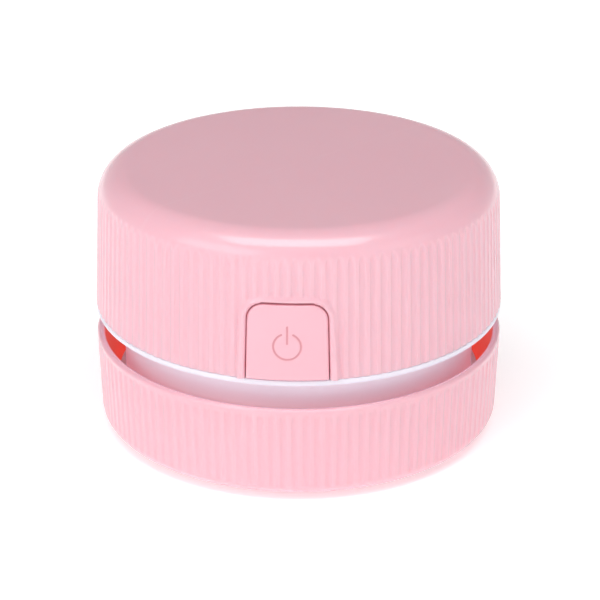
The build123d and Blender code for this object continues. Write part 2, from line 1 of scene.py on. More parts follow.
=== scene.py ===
import bpy
import bmesh
import math
import random
import numpy as np
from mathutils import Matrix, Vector


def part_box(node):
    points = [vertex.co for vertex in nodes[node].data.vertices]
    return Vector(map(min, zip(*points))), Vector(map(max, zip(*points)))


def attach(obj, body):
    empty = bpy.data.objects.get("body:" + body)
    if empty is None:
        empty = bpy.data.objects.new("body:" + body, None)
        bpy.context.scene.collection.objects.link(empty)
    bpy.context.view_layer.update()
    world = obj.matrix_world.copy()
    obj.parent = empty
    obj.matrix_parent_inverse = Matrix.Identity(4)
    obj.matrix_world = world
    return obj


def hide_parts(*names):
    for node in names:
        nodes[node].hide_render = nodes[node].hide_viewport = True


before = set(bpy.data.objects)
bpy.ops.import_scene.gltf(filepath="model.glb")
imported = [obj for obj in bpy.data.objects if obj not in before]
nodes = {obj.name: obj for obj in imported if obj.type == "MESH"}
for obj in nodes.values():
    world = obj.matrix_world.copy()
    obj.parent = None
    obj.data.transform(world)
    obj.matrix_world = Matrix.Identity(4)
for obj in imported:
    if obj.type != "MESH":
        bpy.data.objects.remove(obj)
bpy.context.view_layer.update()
mm = 0.001
print("frame loaded,", len(nodes), "nodes")


# shader maths: a socket that can be used in plain arithmetic
class Link:
    def __init__(self, paint, socket):
        self.paint = paint
        self.socket = socket

    def maths(self, operation, first, second):
        return self.paint.node("ShaderNodeMath", {"operation": operation}, {0: first, 1: second})

    def __add__(self, other):
        return self.maths("ADD", self, other)

    def __radd__(self, other):
        return self.maths("ADD", other, self)

    def __sub__(self, other):
        return self.maths("SUBTRACT", self, other)

    def __rsub__(self, other):
        return self.maths("SUBTRACT", other, self)

    def __mul__(self, other):
        return self.maths("MULTIPLY", self, other)

    def __rmul__(self, other):
        return self.maths("MULTIPLY", other, self)

    def __truediv__(self, other):
        return self.maths("DIVIDE", self, other)

    def __rtruediv__(self, other):
        return self.maths("DIVIDE", other, self)


class Paint:
    def __init__(self, name, owner=None):
        self.material = owner or bpy.data.materials.new(name)
        self.material.use_nodes = True
        self.tree = self.material.node_tree
        self.tree.nodes.clear()

    def node(self, kind, settings=None, sockets=None, out=0):
        made = self.tree.nodes.new(kind)
        for key, value in (settings or {}).items():
            if key == "stops":
                ramp = made.color_ramp.elements
                while len(ramp) < len(value):
                    ramp.new(0.5)
                for stop, (place, shade) in zip(ramp, value):
                    stop.position = place
                    stop.color = (shade, shade, shade, 1.0)
            else:
                setattr(made, key, value)
        for key, value in (sockets or {}).items():
            if isinstance(value, Link):
                self.tree.links.new(value.socket, made.inputs[key])
            else:
                made.inputs[key].default_value = value
        return Link(self, made.outputs[out] if made.outputs else None)

    def place(self, out=3):  # the piece's own coordinates, which move with it
        return self.node("ShaderNodeTexCoord", out=out)

    def split(self, vector, axis):
        return self.node("ShaderNodeSeparateXYZ", {}, {"Vector": vector}, out=axis)

    def spread(self, value, fromLow, fromHigh, toLow, toHigh):
        return self.node("ShaderNodeMapRange", {}, {
            "Value": value, "From Min": fromLow, "From Max": fromHigh, "To Min": toLow, "To Max": toHigh})

    def noise(self, scale, detail=3.0, roughness=0.55, where=None):
        return self.node("ShaderNodeTexNoise", {}, {
            "Vector": where or self.place(), "Scale": scale, "Detail": detail, "Roughness": roughness})

    def ramp(self, value, stops):
        return self.node("ShaderNodeValToRGB", {"stops": stops}, {"Fac": value})

    def blend(self, factor, first, second):
        return self.node("ShaderNodeMix", {"data_type": "RGBA"}, {0: factor, 6: first, 7: second}, out=2)

    def bump(self, height, distance, strength=1.0, normal=None):
        sockets = {"Height": height, "Distance": distance, "Strength": strength}
        if normal:
            sockets["Normal"] = normal
        return self.node("ShaderNodeBump", {}, sockets)

    def finish(self, sockets):
        shader = self.node("ShaderNodeBsdfPrincipled", {}, sockets)
        self.node("ShaderNodeOutputMaterial", {}, {"Surface": shader})
        return self.material


def tone(red, green, blue):  # a screen colour from 0 to 255, as light
    def part(value):
        value = value / 255
        return value / 12.92 if value <= 0.04045 else ((value + 0.055) / 1.055) ** 2.4
    return (part(red), part(green), part(blue), 1.0)


def edgeWearAndHighlight(paint, low=0.52, high=0.60):  # 1 on convex edges, which take a lighter colour: a painted highlight on the pink and white plastics, wear on the dark pieces and the board
    point = paint.node("ShaderNodeNewGeometry", out=7)
    return paint.ramp(point, [(low, 0.0), (high, 1.0)])


# finishes
def plasticSurface(paint, look):  # colour, roughness and grain of a moulded plastic
    broad = paint.noise(look.get("cloudScale", 45), 2.0)
    fine = paint.noise(look.get("grainScale", 2600), 2.0)
    smear = paint.noise(look.get("smearScale", 70), 2.0, 0.5)
    colour = paint.blend(broad, look["colour"], look["shade"])
    # convex edges lighten towards the edge colour: a painted highlight on the pink and white plastics, real wear
    # on the dark pieces
    colour = paint.blend(edgeWearAndHighlight(paint) * look.get("edge", 0.12), colour, look.get("edgeColour", (1, 1, 1, 1)))
    rough = paint.ramp(smear, [(0.38, look["roughness"]), (0.72, look["roughness"] + look.get("spread", 0.08))])
    normal = paint.bump(fine, look.get("grainDepth", 0.000012), look.get("grainStrength", 0.25))
    return colour, rough, normal


def plasticShader(paint, look, colour, rough, normal, glow):
    return paint.finish({
        "Base Color": colour, "Roughness": rough, "Normal": normal,
        "Coat Weight": look.get("coat", 0.0), "Coat Roughness": look.get("coatRoughness", 0.12),
        "Specular IOR Level": look.get("gloss", 0.5),
        "Emission Color": glow, "Emission Strength": 1.0,
        "Subsurface Weight": look.get("depth", 0.0), "Subsurface Scale": look.get("reach", 0.002),
        "Subsurface Radius": (1.0, 0.45, 0.4)})


def mouldedPlastic(name, look):
    paint = Paint(name)
    return plasticShader(paint, look, *plasticSurface(paint, look), look.get("glow", (0, 0, 0, 1)))


def metalFinish(name, look):
    paint = Paint(name)
    stretched = paint.node("ShaderNodeMapping", {}, {
        "Vector": paint.place(), "Scale": look.get("stretch", (1.0, 1.0, 1.0))})
    lines = paint.noise(look.get("lineScale", 900), 4.0, 0.6, stretched)
    stain = paint.noise(160, 4.0, 0.6)
    colour = paint.blend(paint.ramp(stain, [(0.4, 0.0), (0.75, 1.0)]), look["colour"], look["shade"])
    rough = paint.ramp(lines, [(0.3, look["roughness"]), (0.7, look["roughness"] + 0.16)])
    return paint.finish({
        "Base Color": colour, "Metallic": look.get("metal", 1.0), "Roughness": rough,
        "Normal": paint.bump(lines, 0.00001, 0.35)})


def rubberFinish(name, look):
    paint = Paint(name)
    pits = paint.noise(look.get("grainScale", 3500), 3.0)
    dusty = paint.noise(240, 5.0, 0.7)
    colour = paint.blend(paint.ramp(dusty, [(0.45, 0.0), (0.8, 0.5)]), look["colour"], look["dust"])
    rough = paint.ramp(dusty, [(0.3, look["roughness"]), (0.8, look["roughness"] + 0.15)])
    return paint.finish({
        "Base Color": colour, "Roughness": rough, "Normal": paint.bump(pits, 0.00003, 0.5),
        "Specular IOR Level": 0.35})


pinkLook = {
    "colour": tone(250, 193, 205), "shade": tone(248, 188, 201), "roughness": 0.285, "spread": 0.03,
    "coat": 0.6, "coatRoughness": 0.10, "gloss": 0.5, "edge": 0.10, "depth": 0.3, "reach": 0.003,
    # the lighter pink edge colour is a painted highlight on rounded edges
    "edgeColour": tone(255, 214, 222),
}
whiteLook = {
    "colour": tone(244, 240, 250), "shade": tone(240, 234, 247), "roughness": 0.38, "spread": 0.10,
    # edges lighten to pure white: a painted highlight on the white plastics
    "gloss": 0.45, "edge": 0.15, "depth": 0.05,
}
blackLook = {
    "colour": tone(30, 30, 32), "shade": tone(38, 38, 40), "roughness": 0.45, "edge": 0.2,
    "edgeColour": tone(80, 80, 84),
}
boardLook = {
    "colour": tone(18, 92, 46), "shade": tone(26, 110, 56), "roughness": 0.32, "coat": 0.4, "edge": 0.4,
    "edgeColour": tone(170, 160, 110), "cloudScale": 900,
}
finishes = {
    "pinkAbs": mouldedPlastic("pinkAbs", pinkLook),
    "whiteAbs": mouldedPlastic("whiteAbs", whiteLook),
    # the drum's glow is painted light that brightens the drum, shaded under the white ring
    "drumWhite": mouldedPlastic("drumWhite", {
        **whiteLook, "colour": tone(252, 240, 248), "shade": tone(250, 236, 246), "glow": (0.05, 0.12, 0.165, 1)}),
    # painted light in the button's gap: a deeper red colour and a red glow for light coming through the pink
    # plastic
    "gapPaintedGlow": mouldedPlastic("gapPaintedGlow", {
        **pinkLook, "colour": tone(240, 120, 130), "glow": (0.22, 0.03, 0.035, 1)}),
    "blackAbs": mouldedPlastic("blackAbs", blackLook),
    "boardGreen": mouldedPlastic("boardGreen", boardLook),
    "chipBlack": mouldedPlastic("chipBlack", {**blackLook, "colour": tone(22, 22, 24), "roughness": 0.55}),
    "cellWrap": mouldedPlastic("cellWrap", {
        **blackLook, "colour": tone(40, 92, 150), "shade": tone(34, 82, 140), "roughness": 0.29, "coat": 0.5}),
    "leadRed": mouldedPlastic("leadRed", {
        **blackLook, "colour": tone(176, 34, 34), "shade": tone(160, 28, 30), "roughness": 0.4}),
    "lightPipe": mouldedPlastic("lightPipe", {
        **whiteLook, "colour": tone(246, 232, 230), "roughness": 0.12, "depth": 0.4}),
    "screwSteel": metalFinish("screwSteel", {
        "colour": tone(196, 198, 204), "shade": tone(170, 170, 176), "roughness": 0.29}),
    "canSteel": metalFinish("canSteel", {
        "colour": tone(206, 206, 208), "shade": tone(182, 182, 186), "roughness": 0.29, "stretch": (1, 1, 0.08)}),
    "nickel": metalFinish("nickel", {
        "colour": tone(214, 210, 202), "shade": tone(196, 190, 180), "roughness": 0.29, "stretch": (0.1, 1, 1)}),
    "bronze": metalFinish("bronze", {
        "colour": tone(176, 128, 72), "shade": tone(142, 98, 54), "roughness": 0.35}),
    "ferrite": metalFinish("ferrite", {
        "colour": tone(52, 50, 52), "shade": tone(66, 62, 62), "roughness": 0.6, "metal": 0.3}),
    "copper": metalFinish("copper", {
        "colour": tone(196, 110, 66), "shade": tone(168, 84, 48), "roughness": 0.3, "stretch": (1, 1, 0.1)}),
    "silicone": rubberFinish("silicone", {
        "colour": tone(226, 222, 226), "dust": tone(206, 200, 204), "roughness": 0.42}),
    "footRubber": rubberFinish("footRubber", {
        "colour": tone(126, 122, 126), "dust": tone(168, 164, 166), "roughness": 0.68}),
}
print("finishes made,", len(finishes))


# mesh helpers, all in millimetres
def newPiece(name, points, faces, finish, body=None, replaces=(), smoothAngle=38):
    mesh = bpy.data.meshes.new(name)
    mesh.from_pydata([tuple(c * mm for c in p) for p in points], [], faces)
    mesh.validate()
    work = bmesh.new()
    work.from_mesh(mesh)
    bmesh.ops.recalc_face_normals(work, faces=work.faces)
    work.to_mesh(mesh)
    work.free()
    piece = bpy.data.objects.new(name, mesh)
    bpy.context.scene.collection.objects.link(piece)
    dress(piece, finish, smoothAngle)
    if body:
        settle(piece, body, replaces)
    return piece


def dress(piece, finish, smoothAngle=38):
    mesh = piece.data
    mesh.materials.clear()
    mesh.materials.append(finishes[finish])
    mesh.polygons.foreach_set("use_smooth", [True] * len(mesh.polygons))
    mesh.set_sharp_from_angle(angle=math.radians(smoothAngle))


def settle(piece, body, replaces=()):
    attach(piece, body)
    if replaces:
        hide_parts(*replaces)


def turned(rows, angles, looped, reshape=None):
    # rows of (radius, height) swept round; reshape(radius, height, angles, row) may change one row's radii
    points = []
    rings = []
    for index, (radius, height) in enumerate(rows):
        if radius < 1e-6:
            rings.append([len(points)] * len(angles))
            points.append((0.0, 0.0, height))
            continue
        radii = np.full(len(angles), float(radius))
        if reshape:
            radii = reshape(radii, height, angles, index)
        first = len(points)
        points += list(zip(radii * np.sin(angles), -radii * np.cos(angles), [height] * len(angles)))
        rings.append(list(range(first, first + len(angles))))
    faces = []
    pairs = list(zip(rings, rings[1:]))
    if looped:
        pairs.append((rings[-1], rings[0]))
    for lower, upper in pairs:
        for here in range(len(angles)):
            after = (here + 1) % len(angles)
            corners = [lower[here], lower[after], upper[after], upper[here]]
            faces.append(list(dict.fromkeys(corners)))
    return points, faces


def evenAngles(count):
    return np.arange(count) * 2 * math.pi / count


def arcRows(centre, radius, start, end, steps):  # part of a round edge, angles in degrees
    return [(centre[0] + radius * math.cos(math.radians(a)), centre[1] + radius * math.sin(math.radians(a)))
            for a in np.linspace(start, end, steps)]


def straightRows(start, end, step):
    count = max(2, int(math.dist(start, end) / step))
    return [(start[0] + (end[0] - start[0]) * t, start[1] + (end[1] - start[1]) * t)
            for t in np.linspace(0, 1, count + 1)]


def prism(outline, toPoint, low, high):
    # a closed outline of (u, v) pushed from low to high; toPoint(u, v, depth) places it
    count = len(outline)
    points = [toPoint(u, v, low) for u, v in outline] + [toPoint(u, v, high) for u, v in outline]
    faces = [list(range(count))[::-1], list(range(count, 2 * count))]
    for here in range(count):
        after = (here + 1) % count
        faces.append([here, after, count + after, count + here])
    return points, faces


def roundOutline(x, y, radius, count=40):
    return [(x + radius * math.cos(t), y + radius * math.sin(t)) for t in evenAngles(count)]


def rectangle(left, bottom, right, top):
    return [(left, bottom), (right, bottom), (right, top), (left, top)]


def ringPlaces(circle, angles):  # points on a circle about the axis, angles in degrees
    return [(circle * math.cos(math.radians(a)), circle * math.sin(math.radians(a))) for a in angles]


def upright(u, v, depth):
    return (u, v, depth)


def frontward(u, v, depth):
    return (u, -depth, v)


def rearward(u, v, depth):
    return (u, depth, v)


def carve(piece, shapes, operation="DIFFERENCE"):
    for points, faces in shapes:
        tool = newPiece("tool", points, faces, "whiteAbs")
        cut = piece.modifiers.new("cut", "BOOLEAN")
        cut.operation = operation
        cut.solver = "MANIFOLD"
        cut.object = tool
        view = bpy.context.evaluated_depsgraph_get()
        result = bpy.data.meshes.new_from_object(piece.evaluated_get(view))
        piece.modifiers.clear()
        old = piece.data
        piece.data = result
        bpy.data.meshes.remove(old)
        scrap = tool.data
        bpy.data.objects.remove(tool)
        bpy.data.meshes.remove(scrap)
    return piece


def smoothStep(value, low, high):
    t = np.clip((value - low) / (high - low), 0, 1)
    return t * t * (3 - 2 * t)


def distanceTo(outline, xs, zs):
    # signed distance from points to a closed outline, negative inside
    ends = np.array(outline)
    starts = np.roll(ends, 1, axis=0)
    best = np.full(xs.shape, 1e9)
    inside = np.zeros(xs.shape, bool)
    for (ax, az), (bx, bz) in zip(starts, ends):
        dx, dz = bx - ax, bz - az
        along = np.clip(((xs - ax) * dx + (zs - az) * dz) / max(dx * dx + dz * dz, 1e-9), 0, 1)
        best = np.minimum(best, np.hypot(xs - ax - along * dx, zs - az - along * dz))
        crosses = (az > zs) != (bz > zs)
        side = (bx - ax) * (zs - az) / (dz if abs(dz) > 1e-9 else 1e-9) + ax
        inside ^= crosses & (xs < side)
    return np.where(inside, -best, best)


# sizes shared by the head's pieces, read from the frame where it holds them
shellLow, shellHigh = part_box("top_shell")
ringTop = shellLow.z / mm
topHeight = shellHigh.z / mm
shellRadius = shellHigh.x / mm
cupLow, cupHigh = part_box("dust_cup")
cupBottom = cupLow.z / mm
cupRim = cupHigh.z / mm
cupRadius = cupHigh.x / mm
fluting = {
    "count": 120, "phase": 0.4, "cutter": 1.0, "standOff": 0.7, "denseSteps": 22,
    "steps": (-1.5, -1.2, -0.98, -0.9, -0.7, -0.4, 0.0, 0.4, 0.7, 0.9, 0.98, 1.2),
}
flutePitch = 360 / fluting["count"]


def fluteDepth(angles, radius):  # how deep the vertical flutes are at each angle, crests at the phase
    turn = (np.degrees(angles) - fluting["phase"]) % flutePitch - flutePitch / 2
    across = np.radians(turn) * radius
    inside = np.maximum(fluting["cutter"] ** 2 - across ** 2, 0)
    return np.maximum(np.sqrt(inside) - fluting["standOff"], 0)


def fluteAngles(denseHalf=0.0):
    # angles that follow the flutes: close together in each groove, closer still about the button
    dense = fluting["denseSteps"]
    found = []
    for turn in range(fluting["count"]):
        middle = (turn + 0.5) * flutePitch + fluting["phase"]
        middle = (middle + 180) % 360 - 180
        if abs(middle) < denseHalf:
            found += [middle + flutePitch * (k / dense - 0.5) for k in range(dense)]
        else:
            found += [middle + step for step in fluting["steps"]]
    return np.radians(np.sort(np.array(found)))


# power button outline, shared by the shell and the button
button = {
    "bottom": 27.0, "top": 42.5, "halfBottom": 8.05, "halfTop": 7.65, "corner": 3.2, "gap": 0.25,
    "radius": 42.9, "taper": 0.0487, "edge": 0.42,
    "iconHeight": 34.1, "iconRadius": 2.66, "iconGap": 25, "barFrom": 34.7, "barTo": 38.1, "stroke": 0.19,
    "engraveDepth": 0.11, "strokeFade": 0.07,
    "edgeSteps": (0, 0.03, 0.08, 0.16, 0.27, 0.4), "faceFrom": 0.55, "faceStep": 0.1, "faceHalf": 0.93,
    "faceColumns": 165, "capRows": 34, "back": 38.0,
    "flange": (-9.2, 27.6, 9.2, 43.8), "flangeBack": 37.2, "flangeFront": 38.3,
    "post": (-2.4, 32.6, 2.4, 37.4), "postBack": 36.4,
}


def buttonOutline(grow, bottom, cornerSteps=10):
    top = button["top"] + grow
    corner = button["corner"] + grow
    halfTop = button["halfTop"] + grow
    halfBottom = button["halfBottom"] + grow
    right = [(halfTop - corner + corner * math.sin(t), top - corner + corner * math.cos(t))
             for t in np.linspace(0, math.pi / 2, cornerSteps)]
    left = [(-x, z) for x, z in reversed(right)]
    return [(halfBottom, bottom), (-halfBottom, bottom)] + left + right


# top shell
shell = {
    "shoulderRadius": 41.4, "shoulder": 49.4, "round": 6.2, "wall": 1.6, "edge": 0.35,
    "bezelStand": 0.62, "bezelTopWidth": 1.25, "bezelFootWidth": 1.95, "bezelEdge": 0.5, "bezelDip": 0.3,
    "bezelDipWidth": 1.4, "bezelSlope": 0.75, "bezelIn": 0.15, "bezelOut": 0.35, "bezelFoot": 0.05,
    "frontCosine": 0.9, "aboveButton": 6, "flatRadii": (0.0, 3.0, 8.0, 14.0, 20.0, 26.0, 31.0, 34.0),
    "innerBevel": 1.3, "innerRound": 4.4,
}
shellTaper = (shellRadius - shell["shoulderRadius"]) / (shell["shoulder"] - ringTop)
openingOutline = buttonOutline(button["gap"], ringTop - 3)


def shellReshape(radii, height, angles, row):
    if row >= shellOuterRows:
        return radii
    wallLine = shellRadius - shellTaper * (height - ringTop)
    fluted = np.minimum(radii, wallLine - fluteDepth(angles, wallLine))
    x = radii * np.sin(angles)
    front = (np.cos(angles) > shell["frontCosine"]) & (height < button["top"] + shell["aboveButton"])
    if not front.any():
        return fluted
    away = np.full(len(angles), 99.0)
    away[front] = distanceTo(openingOutline, x[front], np.full(front.sum(), height))
    rise = np.clip((button["top"] - height) / (button["top"] - ringTop), 0, 1)
    width = shell["bezelTopWidth"] + (shell["bezelFootWidth"] - shell["bezelTopWidth"]) * rise
    # plain is 1 where the bezel covers the flutes
    plain = 1 - smoothStep(away, width - shell["bezelIn"], width + shell["bezelOut"])
    stand = shell["bezelStand"] * (1 - smoothStep(away, width - shell["bezelSlope"], width + shell["bezelFoot"]))
    edge = shell["bezelEdge"]
    roll = edge - np.sqrt(np.maximum(edge ** 2 - np.clip(edge - away, 0, edge) ** 2, 0))
    roll = roll + shell["bezelDip"] * np.clip(1 - away / shell["bezelDipWidth"], 0, 1) ** 1.5
    return fluted * (1 - plain) + radii * plain + stand - roll


roundCentre = (shell["shoulderRadius"] - shell["round"], topHeight - shell["round"])
flatRows = [(r, topHeight) for r in shell["flatRadii"]]
roundRows = arcRows(roundCentre, shell["round"], 90, 0, 26)
edgeCentre = (shellRadius - shell["edge"], ringTop + shell["edge"])
outerRows = (flatRows + roundRows
             + straightRows(roundRows[-1], (shellRadius, ringTop + 2 * shell["edge"]), 0.4)[1:]
             + arcRows(edgeCentre, shell["edge"], 0, -90, 5))
shellOuterRows = len(outerRows)
innerWall = shell["shoulderRadius"] - shell["wall"]
innerRows = [
    (shellRadius - shell["wall"], ringTop),
    (innerWall, shell["shoulder"]),
    (innerWall - shell["innerBevel"], topHeight - shell["wall"] - shell["innerBevel"]),
    (innerWall - shell["innerRound"], topHeight - shell["wall"]),
    (0.0, topHeight - shell["wall"]),
]
points, faces = turned(outerRows + innerRows, fluteAngles(17.0), False, shellReshape)
topShell = newPiece("topShell", points, faces, "pinkAbs")
print("shell turned,", len(topShell.data.polygons), "faces")


usbLow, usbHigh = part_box("usb_socket")
usbHeight = (usbLow.z + usbHigh.z) / 2 / mm
openings = {
    "buttonFrom": 34, "rearFrom": 36, "outTo": 50, "usbWidth": 9.5, "usbTall": 3.8,
    "lightX": 8.5, "lightRadius": 0.8,
}


def slotOutline(x, z, width, height, steps=12):
    half = height / 2
    reach = width / 2 - half
    right = [(x + reach + half * math.sin(t), z - half * math.cos(t)) for t in np.linspace(0, math.pi, steps)]
    left = [(2 * x - u, 2 * z - v) for u, v in right]
    return right + left


carve(topShell, [
    prism(openingOutline, frontward, openings["buttonFrom"], openings["outTo"]),
    prism(slotOutline(0, usbHeight, openings["usbWidth"], openings["usbTall"]), rearward,
          openings["rearFrom"], openings["outTo"]),
    prism(roundOutline(openings["lightX"], usbHeight, openings["lightRadius"]), rearward,
          openings["rearFrom"], openings["outTo"]),
])
bosses = {"circle": 32.0, "angles": (4.0, 176.0, 231.0, 309.0), "radius": 2.6, "bottom": 27.25}
carve(topShell, [prism(roundOutline(x, y, bosses["radius"], 24), upright,
                       bosses["bottom"], topHeight - shell["wall"] + 0.5)
                 for x, y in ringPlaces(bosses["circle"], bosses["angles"])], "UNION")
dress(topShell, "pinkAbs")
settle(topShell, "head", ["top_shell"])
print("shell finished,", len(topShell.data.polygons), "faces")


# power button
def iconDistance(x, z):  # distance to the middle of the power sign's strokes
    dx, dz = x, z - button["iconHeight"]
    bearing = np.degrees(np.arctan2(dx, dz))
    ringAway = np.abs(np.hypot(dx, dz) - button["iconRadius"])
    tip = math.radians(button["iconGap"])
    tipX, tipZ = button["iconRadius"] * math.sin(tip), button["iconRadius"] * math.cos(tip)
    tipAway = np.hypot(np.abs(dx) - tipX, dz - tipZ)
    ringAway = np.where(np.abs(bearing) < button["iconGap"], tipAway, ringAway)
    barAway = np.hypot(dx, z - np.clip(z, button["barFrom"], button["barTo"]))
    return np.minimum(ringAway, barAway)


def buttonHalfWidth(z):
    top, corner = button["top"], button["corner"]
    share = (z - button["bottom"]) / (top - button["bottom"])
    side = button["halfBottom"] + (button["halfTop"] - button["halfBottom"]) * share
    over = max(z - (top - corner), 0)
    return side - corner + math.sqrt(max(corner ** 2 - over ** 2, 0))


def buttonPiece():
    outline = buttonOutline(0, button["bottom"])
    bottom, top, corner = button["bottom"], button["top"], button["corner"]
    low = [bottom + step for step in button["edgeSteps"]]
    middle = list(np.arange(bottom + button["faceFrom"], top - corner, button["faceStep"]))
    cap = [top - corner + corner * math.sin(t) for t in np.linspace(0.03, math.pi / 2 - 0.02, button["capRows"])]
    heights = low + middle + cap + [top]
    half = button["faceHalf"]
    across = ([-1 + step / 8 for step in button["edgeSteps"]]
              + list(np.linspace(-half, half, button["faceColumns"]))
              + [1 - step / 8 for step in reversed(button["edgeSteps"])])
    xs = np.array([[u * max(buttonHalfWidth(z), corner * 0.05) for u in across] for z in heights])
    zs = np.array([[z] * len(across) for z in heights])
    inward = np.maximum(-distanceTo(outline, xs, zs), 0)
    edge = button["edge"]
    roll = edge - np.sqrt(np.maximum(edge ** 2 - np.clip(edge - inward, 0, edge) ** 2, 0))
    radius = button["radius"] - button["taper"] * (zs - bottom)
    fade = button["strokeFade"]
    strokes = 1 - smoothStep(iconDistance(xs, zs), button["stroke"] - fade, button["stroke"] + fade)
    depth = np.sqrt(radius ** 2 - xs ** 2) - roll - strokes * button["engraveDepth"]
    rowsCount, columns = xs.shape
    points = [(float(x), -float(d), float(z)) for x, d, z in zip(xs.flat, depth.flat, zs.flat)]
    points += [(float(x), -button["back"], float(z)) for x, z in zip(xs.flat, zs.flat)]
    back = rowsCount * columns
    faces = []
    for row in range(rowsCount - 1):
        for column in range(columns - 1):
            here = row * columns + column
            quad = [here, here + 1, here + columns + 1, here + columns]
            faces.append(quad)
            faces.append([back + k for k in reversed(quad)])
    rim = list(range(columns - 1)) + [r * columns + columns - 1 for r in range(rowsCount - 1)]
    rim += [(rowsCount - 1) * columns + c for c in range(columns - 1, 0, -1)]
    rim += [r * columns for r in range(rowsCount - 1, 0, -1)]
    for here, after in zip(rim, rim[1:] + rim[:1]):
        faces.append([after, here, back + here, back + after])
    piece = newPiece("powerButton", points, faces, "pinkAbs")
    inked = piece.data.attributes.new("inked", "FLOAT", "POINT")
    inked.data.foreach_set("value", list(strokes.flat) + [1.0] * back)
    return piece


buttonLook = {
    **pinkLook, "colour": tone(248, 189, 202), "shade": tone(247, 186, 199), "spread": 0.035, "cloudScale": 60,
    "edge": 0.0, "coat": 0.5, "coatRoughness": 0.12, "depth": 0.06, "reach": 0.002,
    # the power sign's engraved strokes are coloured darker and made rougher
    "strokeColour": tone(222, 142, 152), "strokeCover": 0.85, "strokeRough": 0.2,
}


def buttonFinish():
    paint = Paint("buttonPink")
    colour, rough, normal = plasticSurface(paint, buttonLook)
    inked = paint.node("ShaderNodeAttribute", {"attribute_name": "inked"}, out=2)
    colour = paint.blend(inked * buttonLook["strokeCover"], colour, buttonLook["strokeColour"])
    return plasticShader(paint, buttonLook, colour, rough + inked * buttonLook["strokeRough"], normal, (0, 0, 0, 1))


finishes["buttonPink"] = buttonFinish()
powerButton = buttonPiece()
dress(powerButton, "buttonPink")
settle(powerButton, "button", ["power_button"])
points, faces = prism(rectangle(*button["flange"]), frontward, button["flangeBack"], button["flangeFront"])
# the flange seen through the button's gap carries the painted red glow
buttonFlange = newPiece("buttonFlange", points, faces, "gapPaintedGlow", "button", smoothAngle=20)
points, faces = prism(rectangle(*button["post"]), frontward, button["postBack"], button["flangeBack"])
buttonPost = newPiece("buttonPost", points, faces, "buttonPink", "button", smoothAngle=20)
print("button made")


# dust cup
cup = {
    "baseRadius": 42.1, "baseRound": 2.5, "wall": 1.6, "floorTop": 3.2, "recessRadius": 27.0, "recessRoof": 3.4,
    "recessFloorTop": 4.8, "inlet": 7.5, "riserWall": 1.2, "riserTop": 6.0, "lip": 0.75, "plainLip": 1.15,
    "fluteFoot": 2.3, "fade": 0.7, "baseFlat": 33.0, "cornerHeight": 4.4, "cornerRound": 1.2,
    "floorRadii": (36.0, 32.0), "roofRadius": 18.0, "recessMiddle": 16.0,
    "socketInner": 37.1, "socketOuter": 38.5, "socketTop": 9.4, "ridgeRadius": 35.8,
}


def cupOutside():
    base, lip = cup["baseRadius"], cup["lip"]
    centre = (base - cup["baseRound"], cupBottom + cup["baseRound"])
    rimCentre = (cupRadius - lip, cupRim - lip)
    return ([(cup["recessRadius"] + 0.3, cupBottom), (cup["baseFlat"], cupBottom)]
            + arcRows(centre, cup["baseRound"], -90, 0, 12)
            + straightRows((base, centre[1]), (cupRadius, rimCentre[1]), 0.5)[1:]
            + arcRows(rimCentre, lip, 8, 90, 8))


def cupInside():
    wall, lip, floorTop, roof = cup["wall"], cup["lip"], cup["floorTop"], cup["recessRoof"]
    step, recess, inlet = cup["recessFloorTop"], cup["recessRadius"], cup["inlet"]
    base, corner, bend = cup["baseRadius"] - wall, cup["cornerHeight"], cup["cornerRound"]
    riser = inlet + cup["riserWall"]
    rimCentre = (cupRadius - wall + lip, cupRim - lip)
    return (arcRows(rimCentre, lip, 98, 180, 8)
            + straightRows((cupRadius - wall, rimCentre[1]), (base, corner), 2.0)[1:]
            + arcRows((base - bend, corner), bend, 0, -90, 6)
            + [(r, floorTop) for r in cup["floorRadii"]]
            + [(recess + wall + 0.4, floorTop), (recess + wall, floorTop + 0.4), (recess + wall, step - 0.4),
               (recess + wall - 0.4, step), (cup["roofRadius"], step), (riser + 0.5, step), (riser, step + 0.5)]
            + arcRows((inlet + cup["riserWall"] / 2, cup["riserTop"] - 0.6), 0.6, 0, 180, 9)
            + [(inlet, roof + 0.4)]
            + arcRows((inlet + 0.4, roof + 0.4), 0.4, 200, 270, 4)
            + [(cup["recessMiddle"], roof), (recess - 0.3, roof), (recess, roof - 0.3), (recess, cupBottom + 0.3)])


cupOuter = cupOutside()
cupOuterRows = len(cupOuter)


def cupReshape(radii, height, angles, row):
    if row >= cupOuterRows:
        return radii
    share = (height - cupBottom) / (cupRim - cupBottom)
    wallLine = cup["baseRadius"] + (cupRadius - cup["baseRadius"]) * share
    upper = 1 - smoothStep(height, cupRim - cup["plainLip"] - cup["fade"], cupRim - cup["plainLip"])
    lower = smoothStep(height, cupBottom + cup["fluteFoot"] - cup["fade"], cupBottom + cup["fluteFoot"])
    return np.minimum(radii, wallLine - fluteDepth(angles, wallLine) * upper * lower)


points, faces = turned(cupOuter + cupInside(), fluteAngles(), True, cupReshape)
dustCup = newPiece("dustCup", points, faces, "pinkAbs")
thread = {
    "lead": 30.0, "thick": 1.2, "gap": 0.2, "lugHeight": 6.2, "lugHalf": 7.0, "ridgeHalf": 9.0,
    "lugRadius": 36.6, "angles": (30.0, 150.0, 270.0), "steps": 8,
}


def threadPad(angle, half, height, inner, outer):
    # a slanted pad that follows the thread round, with its two curved faces on the circles
    outline = []
    for side in (-1, 1):
        turns = np.linspace(-half, half, thread["steps"]) * -side
        outline += [(angle + t, height + t * thread["lead"] / 360 + side * thread["thick"] / 2) for t in turns]

    def toPoint(u, v, depth):
        return (depth * math.cos(math.radians(u)), depth * math.sin(math.radians(u)), v)

    return prism(outline, toPoint, inner, outer)


